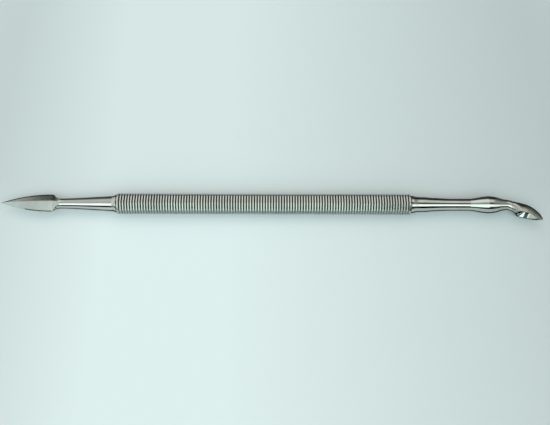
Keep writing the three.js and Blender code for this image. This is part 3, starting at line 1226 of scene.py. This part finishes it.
@dataclass(frozen=True)
class SteelLook:
    """One finish of bare steel."""

    finish: Finish
    colour: Colour
    clouded: Colour
    # Roughness, and what hairlines and clouds add to it
    roughness: float
    rough_lines: float
    rough_cloud: float
    # Hairlines per metre along and across their run, and their height in metres
    lines_along: float
    lines_across: float
    line_height: float
    cloud_size: float = 180.0
    # The centre that a wheel's marks run round, in millimetres
    arc_centre: tuple[float, float] | None = None
    # Seen edge on: the metal's own tint, a painted shade colour that takes over and darkens the
    # outline like a dark reflection, and where it does
    edge_tint: float = 0.0
    painted_edge_shade: Colour | None = (0.05, 0.055, 0.05, 1.0)
    painted_edge_shade_from: tuple[float, float] = (0.4, 0.68)

    def arcs(self, graph: Graph, groups: Groups, place: NodeSocket) -> NodeSocket:
        """Adds coordinates that run round the wheel's centre.

        Args:
            graph: the material's graph.
            groups: the shared effects by name.
            place: the object's coordinates.

        Returns:
            The coordinates.
        """
        x, y = self.arc_centre
        inputs = {"Vector": place, "Centre": (x * MM, y * MM, 0.0)}
        return graph.group(groups["arc_space"], inputs)["Vector"]

    def build(self, groups: Groups) -> bpy.types.Material:
        """Builds the material.

        Args:
            groups: the shared effects by name.

        Returns:
            The material.
        """
        material = bpy.data.materials.new(self.finish.value)
        material.use_nodes = True
        graph = Graph(material.node_tree)
        place = graph.add("ShaderNodeTexCoord").outputs["Object"]
        space = place if self.arc_centre is None else self.arcs(graph, groups, place)
        lines = graph.group(
            groups["hairlines"],
            {"Vector": space, "Along": self.lines_along, "Across": self.lines_across},
        )["Lines"]
        inputs = {"Vector": place, "Size": self.cloud_size}
        cloud = graph.group(groups["handling"], inputs)["Cloud"]
        colour = graph.mix(cloud, self.colour, self.clouded)
        rough = graph.math("MULTIPLY", lines, self.rough_lines)
        rough = graph.math("ADD", rough, self.roughness)
        rough = graph.math("ADD", rough, graph.math("MULTIPLY", cloud, self.rough_cloud))
        surface = SteelSurface(graph, groups, place, colour, rough)
        self.mark(surface)
        colour = surface.colour
        if self.painted_edge_shade is not None:
            # Painted shade: the colour turns dark where the surface is seen edge on
            facing = graph.add("ShaderNodeLayerWeight", {"Blend": 0.5}).outputs["Facing"]
            grazing = graph.between(facing, *self.painted_edge_shade_from)
            colour = graph.mix(grazing, colour, self.painted_edge_shade)
        bump = graph.add(
            "ShaderNodeBump", {"Height": lines, "Strength": 1.0, "Distance": self.line_height}
        )
        shader = graph.add(
            "ShaderNodeBsdfPrincipled",
            {
                "Base Color": colour,
                "Roughness": surface.rough,
                "Metallic": 1.0,
                "Specular Tint": (self.edge_tint, self.edge_tint, self.edge_tint, 1.0),
                "Normal": bump.outputs[0],
            },
        )
        graph.add("ShaderNodeOutputMaterial", {"Surface": shader.outputs[0]})
        return material

    def mark(self, surface: SteelSurface) -> None:
        """Leaves the surface as it is; a finish with marks of its own adds them here."""


@dataclass(frozen=True)
class GroovedLook(SteelLook):
    """The handle's steel, with grime and painted shade in its grooves, painted lighter in the
    grooves of the upright side flats, and bright on its worn corners.
    """

    handle: GroovedHandle = field(default_factory=GroovedHandle)
    # Grooves: grime with painted shade, and a painted lighter copy for the upright side flats,
    # where more light falls
    groove_grime_and_shade: Colour = (0.08, 0.088, 0.078, 1.0)
    side_groove_painted_light: Colour = (0.36, 0.39, 0.385, 1.0)
    wear_colour: Colour = (0.64, 0.65, 0.625, 1.0)
    groove_roughness: float = 0.5

    def mark(self, surface: SteelSurface) -> None:
        """Paints grime and shade into the grooves, lighter on the upright side flats, and
        brightens the corners.

        Args:
            surface: the surface so far.
        """
        graph = surface.graph
        flat = self.handle.across_flats / 2
        masks = graph.group(
            surface.groups["groove_masks"],
            {
                "Vector": surface.place,
                "Axis": self.handle.axis * MM,
                "Flat": flat * MM,
                "Floor": self.handle.groove_floor_diameter / 2 * MM,
                "Corner": flat / math.cos(math.pi / self.handle.sides) * MM,
            },
        )
        worn = graph.mix(masks["Wear"], surface.colour, self.wear_colour)
        # Painted shade in the grooves, painted lighter on the upright side flats
        groove = graph.mix(masks["Side"], self.groove_grime_and_shade, self.side_groove_painted_light)
        surface.colour = graph.mix(masks["Groove"], worn, groove)
        deeper = graph.add(
            "ShaderNodeMix",
            {0: masks["Groove"], 2: surface.rough, 3: self.groove_roughness},
            data_type="FLOAT",
        )
        surface.rough = deeper.outputs[0]


@dataclass(frozen=True)
class GroundLook(SteelLook):
    """The blade's ground steel, with round bands that the wheel left near the shoulders."""

    # The bands' spacing, the wave's height at which a band is full, and the two places along
    # the tool between which they grow strong
    band_spacing: float = 0.62
    band_crest: float = 0.8
    bands_from: tuple[float, float] = (-62.5, -59.8)
    band_colour: Colour = (0.55, 0.56, 0.535, 1.0)

    def mark(self, surface: SteelSurface) -> None:
        """Adds the bands.

        Args:
            surface: the surface so far.
        """
        graph = surface.graph
        arcs = self.arcs(graph, surface.groups, surface.place)
        outwards = graph.add("ShaderNodeSeparateXYZ", {0: arcs}).outputs["Y"]
        turns = graph.math("MULTIPLY", outwards, math.tau / (self.band_spacing * MM))
        wave = graph.between(graph.math("SINE", turns), -self.band_crest, self.band_crest)
        along = graph.add("ShaderNodeSeparateXYZ", {0: surface.place}).outputs["X"]
        start, full = self.bands_from
        share = graph.between(along, start * MM, full * MM)
        bands = graph.math("MULTIPLY", wave, share)
        surface.colour = graph.mix(bands, surface.colour, self.band_colour)


@dataclass(frozen=True)
class BowlLook(SteelLook):
    """The bowl's steel, with a painted dark reflection across it and a painted dimmer reflection
    beyond it.
    """

    scoop: ScoopEnd = field(default_factory=lambda: ScoopEnd(GroovedHandle()))
    painted_dark_reflection: Colour = (0.04, 0.05, 0.06, 1.0)
    painted_dim_reflection: Colour = (0.56, 0.56, 0.48, 1.0)
    # How far from its middle the painted dark reflection begins to fade and has gone
    dark_reflection_reach: tuple[float, float] = (0.34, 0.64)

    def mark(self, surface: SteelSurface) -> None:
        """Paints a dark reflection on a narrow stretch across the bowl, where the hump is, and a
        dimmer one beyond it.

        Args:
            surface: the surface so far.
        """
        graph, scoop = surface.graph, self.scoop
        lean = scoop.along + Vector((0.0, 0.0, scoop.hump_slant))
        off = graph.vector("SUBTRACT", surface.place, scoop.heel * MM)
        reached = graph.vector("DOT_PRODUCT", off.outputs[0], lean).outputs["Value"]
        away = graph.math("SUBTRACT", reached, scoop.hump_place * MM)
        near, far = self.dark_reflection_reach
        # Painted reflection: dimmer beyond the hump, and dark across it
        beyond = graph.between(away, near * MM, far * MM)
        colour = graph.mix(beyond, surface.colour, self.painted_dim_reflection)
        dark_reflection_mask = graph.between(graph.math("ABSOLUTE", away), near * MM, far * MM, 1.0, 0.0)
        surface.colour = graph.mix(dark_reflection_mask, colour, self.painted_dark_reflection)


def make_materials(handle: GroovedHandle, scoop: ScoopEnd) -> Materials:
    """Builds every finish of the tool.

    Args:
        handle: the handle, whose sizes place the groove masks.
        scoop: the scoop end, whose sizes place the painted dark reflection across the bowl.

    Returns:
        The materials by name.
    """
    groups = {
        "hairlines": hairline_group(),
        "arc_space": arc_group(),
        "handling": handling_group(),
        "groove_masks": groove_group(),
    }
    steel = {"colour": (0.62, 0.63, 0.6, 1.0), "clouded": (0.56, 0.57, 0.54, 1.0)}
    # Dressed steel: duller, and darker as painted shade that dims the scoop body's highlight
    brushed_dimmed = {"colour": (0.5, 0.505, 0.475, 1.0), "clouded": (0.42, 0.425, 0.4, 1.0)}
    dark = {"colour": (0.05, 0.056, 0.05, 1.0), "clouded": (0.035, 0.04, 0.036, 1.0)}
    silver = {"colour": (0.66, 0.66, 0.615, 1.0), "clouded": (0.56, 0.555, 0.5, 1.0)}

    def marks(
        roughness: float, lines: float, cloud: float, along: float, across: float, height: float
    ) -> dict[str, float]:
        """Names a finish's roughness, what lines and clouds add to it, and its hairlines."""
        return {
            "roughness": roughness,
            "rough_lines": lines,
            "rough_cloud": cloud,
            "lines_along": along,
            "lines_across": across,
            "line_height": height,
        }

    looks = [
        GroovedLook(
            Finish.GROOVED,
            **steel,
            **marks(0.14, 0.06, 0.06, 400.0, 5000.0, 2e-6),
            edge_tint=0.3,
            painted_edge_shade=None,
            handle=handle,
        ),
        SteelLook(Finish.POLISHED, **steel, **marks(0.04, 0.03, 0.03, 60.0, 9000.0, 5e-7)),
        GroundLook(
            Finish.GROUND,
            **steel,
            **marks(0.18, 0.04, 0.04, 300.0, 3000.0, 6e-7),
            arc_centre=(-76.0, 11.0),
            painted_edge_shade=None,
        ),
        # Nearly black steel, painted shade for the dark outlines
        SteelLook(Finish.PAINTED_SHADE, **dark, **marks(0.3, 0.1, 0.05, 300.0, 6000.0, 1e-6)),
        SteelLook(Finish.DRESSED_DIMMED, **brushed_dimmed, **marks(0.13, 0.08, 0.06, 250.0, 2500.0, 6e-6)),
        BowlLook(
            Finish.BOWL, **steel, **marks(0.07, 0.05, 0.05, 300.0, 3000.0, 1e-6), scoop=scoop
        ),
        SteelLook(
            Finish.BRAZE,
            **silver,
            **marks(0.07, 0.04, 0.06, 300.0, 4000.0, 8e-7),
            cloud_size=900.0,
        ),
    ]
    return {look.finish: look.build(groups) for look in looks}


@dataclass(frozen=True)
class RoomStrip:
    """One part of the room that lights the tool, running from the back to the viewer.

    The parts follow each other along the tool. A part takes over between two leans: the
    share of X in the direction towards it.
    """

    takes_over: tuple[float, float]
    overhead_tint: tuple[float, float, float]
    window_tint: tuple[float, float, float]
    # Brightness by the angle round X, from straight up (0) towards the viewer (90)
    levels: Table
    window_from: float = 22.0


@dataclass
class Studio:
    """The pale paper, the soft surroundings that the steel mirrors, and the camera."""

    paper_colour: Colour = (0.86, 0.89, 0.915, 1.0)
    # How large the paper is and how high its tooth, in metres
    paper_size: float = 12.0
    paper_tooth: float = 2e-5
    # Shade painted into the paper's colour: where each fade starts and ends, in metres, and what
    # it leaves
    shaded_right: tuple[float, float, float] = (-0.01, 0.085, 0.71)
    shaded_left: tuple[float, float, float] = (-0.045, -0.078, 0.81)
    shaded_back: tuple[float, float, float] = (-0.004, 0.009, 0.92)
    # Distances from the tool at which that shading begins to weaken and has gone
    shading_reach: tuple[float, float] = (0.1, 0.3)
    camera_place: tuple[float, float, float] = (1.0194, -101.7376, 184.2805)
    camera_turn: tuple[float, float, float] = (28.616, -0.5775, -0.1271)
    lens: float = 48.666
    # A soft lamp from the viewer's side, which the steel doesn't mirror
    lamp_strength: float = 1.0
    lamp_colour: tuple[float, float, float] = (0.74, 1.0, 1.03)
    lamp_turn: float = 50.0
    lamp_spread: float = 80.0
    background: Colour = (0.723, 0.856, 0.845, 1.0)
    # Brightness straight down, all along the tool
    dim: float = 0.05
    # From beyond the blade, over its neck and the handle, to beyond the scoop
    room: tuple[RoomStrip, ...] = (
        RoomStrip(
            takes_over=(-1.0, -0.99),
            overhead_tint=(0.94, 1.0, 0.91),
            window_tint=(0.82, 1.0, 0.985),
            levels=(
                (-98.0, 0.3), (-90.0, 0.6), (-76.0, 0.68), (-64.0, 0.72), (-50.0, 0.8),
                (-35.0, 0.85), (-10.0, 0.85), (2.0, 0.85), (14.0, 0.83), (28.0, 0.86),
                (38.0, 0.88), (46.0, 0.9), (62.0, 0.9), (74.0, 0.3), (90.0, 0.05),
            ),
            window_from=5.0,
        ),
        RoomStrip(
            takes_over=(-0.378, -0.362),
            overhead_tint=(0.935, 1.0, 0.965),
            window_tint=(0.93, 1.0, 0.985),
            levels=(
                (-96.0, 0.0), (-80.0, 0.03), (-70.0, 0.12), (-62.0, 0.26), (-55.0, 0.44),
                (-47.0, 0.62), (-38.0, 0.73), (-20.0, 0.74), (-8.0, 0.7), (3.0, 0.6),
                (10.0, 0.6), (16.0, 0.68), (22.0, 0.88), (27.0, 1.25), (32.0, 1.75),
                (36.0, 1.95), (53.0, 1.95), (59.0, 1.3), (64.0, 0.5), (68.0, 0.1),
                (72.0, 0.0), (95.0, 0.0),
            ),
        ),
        RoomStrip(
            takes_over=(-0.29, -0.24),
            overhead_tint=(0.985, 1.0, 0.93),
            window_tint=(0.8, 1.0, 0.93),
            levels=(
                (-92.0, 0.0), (-70.0, 0.0), (-60.0, 0.25), (-50.0, 0.8), (-38.0, 1.05),
                (-20.0, 1.05), (-8.0, 0.85), (4.0, 0.4), (12.0, 0.35), (20.0, 0.6),
                (28.0, 1.4), (34.0, 1.9), (51.0, 1.9), (58.0, 1.75), (63.0, 1.25),
                (69.0, 0.4), (74.0, 0.0), (95.0, 0.0),
            ),
        ),
        RoomStrip(
            takes_over=(0.175, 0.195),
            overhead_tint=(0.985, 1.0, 0.92),
            window_tint=(0.88, 1.0, 0.95),
            levels=(
                (-96.0, 0.0), (-68.0, 0.0), (-62.0, 0.05), (-55.0, 0.25), (-47.0, 0.53),
                (-36.0, 0.8), (-25.0, 0.88), (-14.0, 0.83), (-7.0, 0.58), (0.0, 0.2),
                (5.0, 0.07), (14.0, 0.06), (20.0, 0.28), (26.0, 1.0), (30.0, 1.7),
                (34.0, 2.0), (46.0, 2.0), (52.0, 1.5), (57.0, 0.55), (61.0, 0.1),
                (65.0, 0.0), (95.0, 0.0),
            ),
        ),
        RoomStrip(
            takes_over=(0.44, 0.54),
            overhead_tint=(0.96, 1.0, 0.94),
            window_tint=(0.9, 1.0, 0.965),
            levels=(
                (-90.0, 0.08), (-65.0, 0.13), (-50.0, 0.26), (-25.0, 0.43), (-8.0, 0.45),
                (4.0, 0.24), (15.0, 0.24), (27.0, 0.8), (34.0, 1.6), (48.0, 1.7),
                (58.0, 0.6), (66.0, 0.05), (90.0, 0.05),
            ),
        ),
    )

    def build(self) -> None:
        """Builds the floor, the room and the camera."""
        self.build_paper()
        self.build_room()
        self.build_lamp()
        self.build_camera()

    def build_paper(self) -> None:
        """Lays the pale paper under the tool."""
        mesh = bmesh.new()
        bmesh.ops.create_grid(mesh, x_segments=1, y_segments=1, size=self.paper_size / 2)
        data = bpy.data.meshes.new("paper")
        mesh.to_mesh(data)
        mesh.free()
        material = bpy.data.materials.new(Finish.PAPER.value)
        material.use_nodes = True
        graph = Graph(material.node_tree)
        place = graph.add("ShaderNodeTexCoord").outputs["Object"]
        tooth = graph.add("ShaderNodeTexNoise", {"Vector": place, "Scale": 900.0, "Detail": 3.0})
        height = tooth.outputs["Fac"]
        bump = graph.add("ShaderNodeBump", {"Height": height, "Distance": self.paper_tooth})
        shader = graph.add(
            "ShaderNodeBsdfPrincipled",
            {
                "Base Color": self.shade_paper(graph, place),
                "Roughness": 0.9,
                "Specular IOR Level": 0.15,
                "Normal": bump.outputs[0],
            },
        )
        graph.add("ShaderNodeOutputMaterial", {"Surface": shader.outputs[0]})
        data.materials.append(material)
        paper = bpy.data.objects.new("paper", data)
        bpy.context.scene.collection.objects.link(paper)

    def shade_paper(self, graph: Graph, place: NodeSocket) -> NodeSocket:
        """Paints shade into the paper's colour, gently towards the scoop, the far left and the
        back.

        Args:
            graph: the paper's graph.
            place: the paper's coordinates.

        Returns:
            The paper's colour.
        """
        parts = graph.add("ShaderNodeSeparateXYZ", {0: place}).outputs

        def fade(value: NodeSocket, low: float, high: float, end: float) -> NodeSocket:
            """Adds a straight fade from 1 to its end value."""
            node = graph.add(
                "ShaderNodeMapRange",
                {"Value": value, "From Min": low, "From Max": high, "To Min": 1.0, "To Max": end},
            )
            return node.outputs[0]

        right = fade(parts["X"], *self.shaded_right)
        left = fade(parts["X"], *self.shaded_left)
        behind = fade(parts["Y"], *self.shaded_back)
        shade = graph.math("MULTIPLY", graph.math("MULTIPLY", right, left), behind)
        away = graph.add("ShaderNodeVectorMath", {0: place}, operation="LENGTH")
        near = graph.between(away.outputs["Value"], *self.shading_reach, 1.0, 0.0)
        taken = graph.math("MULTIPLY", near, graph.math("SUBTRACT", 1.0, shade))
        shade = graph.math("SUBTRACT", 1.0, taken)
        colour = graph.add("ShaderNodeVectorMath", {0: self.paper_colour[:3]}, operation="SCALE")
        graph.tree.links.new(shade, colour.inputs["Scale"])
        return colour.outputs[0]

    def build_room(self) -> None:
        """Lights the tool from all round, with the bright and dark strips of the room."""
        world = bpy.data.worlds.new("room")
        bpy.context.scene.world = world
        world.use_nodes = True
        graph = Graph(world.node_tree)
        sight = graph.add("ShaderNodeTexCoord").outputs["Generated"]
        parts = graph.add("ShaderNodeSeparateXYZ", {0: sight})
        front = graph.math("MULTIPLY", parts.outputs["Y"], -1.0)
        turn = graph.math("ARCTAN2", front, parts.outputs["Z"])
        share = graph.math("ADD", graph.math("DIVIDE", turn, math.tau), 0.5)
        level = self.ramp(graph, share, self.room[0])
        for strip in self.room[1:]:
            reached = graph.between(parts.outputs["X"], *strip.takes_over)
            level = graph.mix(reached, level, self.ramp(graph, share, strip))
        lit = graph.add("ShaderNodeBackground", {"Color": level, "Strength": 1.0})
        plain = graph.add("ShaderNodeBackground", {"Color": self.background, "Strength": 1.0})
        path = graph.add("ShaderNodeLightPath")
        both = graph.add(
            "ShaderNodeMixShader",
            {0: path.outputs["Is Camera Ray"], 1: lit.outputs[0], 2: plain.outputs[0]},
        )
        graph.add("ShaderNodeOutputWorld", {"Surface": both.outputs[0]})

    def ramp(self, graph: Graph, share: NodeSocket, strip: RoomStrip) -> NodeSocket:
        """Adds a colour ramp for one part of the room.

        Args:
            graph: the world's graph.
            share: the angle round X, as a share of a turn.
            strip: the part of the room.

        Returns:
            The light's colour.
        """
        node = graph.add("ShaderNodeValToRGB", {"Fac": share})
        stops = node.color_ramp.elements
        while len(stops) > 1:
            stops.remove(stops[-1])
        levels = ((-180.0, self.dim), *strip.levels, (180.0, self.dim))
        for i, (angle, level) in enumerate(levels):
            stop = stops[0] if i == 0 else stops.new(angle / 360 + 0.5)
            stop.position = angle / 360 + 0.5
            tint = strip.window_tint if angle > strip.window_from else strip.overhead_tint
            stop.color = (*(level * part for part in tint), 1.0)
        return node.outputs[0]

    def build_lamp(self) -> None:
        """Adds the soft lamp."""
        light = bpy.data.lights.new("lamp", "SUN")
        light.energy = self.lamp_strength
        light.color = self.lamp_colour
        light.angle = math.radians(self.lamp_spread)
        lamp = bpy.data.objects.new("lamp", light)
        lamp.rotation_euler = (math.radians(self.lamp_turn), 0.0, 0.0)
        lamp.visible_glossy = False
        bpy.context.scene.collection.objects.link(lamp)

    def build_camera(self) -> None:
        """Places the camera in front of the tool and high above it."""
        camera = bpy.data.cameras.new("camera")
        camera.sensor_fit = "HORIZONTAL"
        camera.sensor_width = 36.0
        camera.lens = self.lens
        camera.clip_start = 0.005
        camera.clip_end = 20.0
        eye = bpy.data.objects.new("camera", camera)
        eye.location = Vector(self.camera_place) * MM
        eye.rotation_euler = tuple(math.radians(angle) for angle in self.camera_turn)
        bpy.context.scene.collection.objects.link(eye)
        bpy.context.scene.camera = eye
        bpy.context.scene.view_settings.view_transform = "Standard"


def main() -> None:
    """Builds the tool and the studio round the frame."""
    logging.basicConfig(level=logging.INFO, format="%(name)s: %(message)s")
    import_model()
    handle = GroovedHandle()
    blade = BladeEnd(handle)
    scoop = ScoopEnd(handle)
    materials = make_materials(handle, scoop)
    # Each ring of braze: how long it is, and the neck's radius under its two ends
    fillets = (
        BrazeFillet(
            "blade_braze",
            handle,
            direction=-1,
            length=1.2,
            foot_radius=blade.neck_foot_diameter / 2,
            end_radius=2.0827,
        ),
        BrazeFillet(
            "scoop_braze",
            handle,
            direction=1,
            length=2.1,
            foot_radius=scoop.neck_foot_diameter / 2,
            end_radius=2.091,
        ),
    )
    for part in (handle, blade, scoop, *fillets):
        part.build(materials)
    Studio().build()


if __name__ == "__main__":
    main()
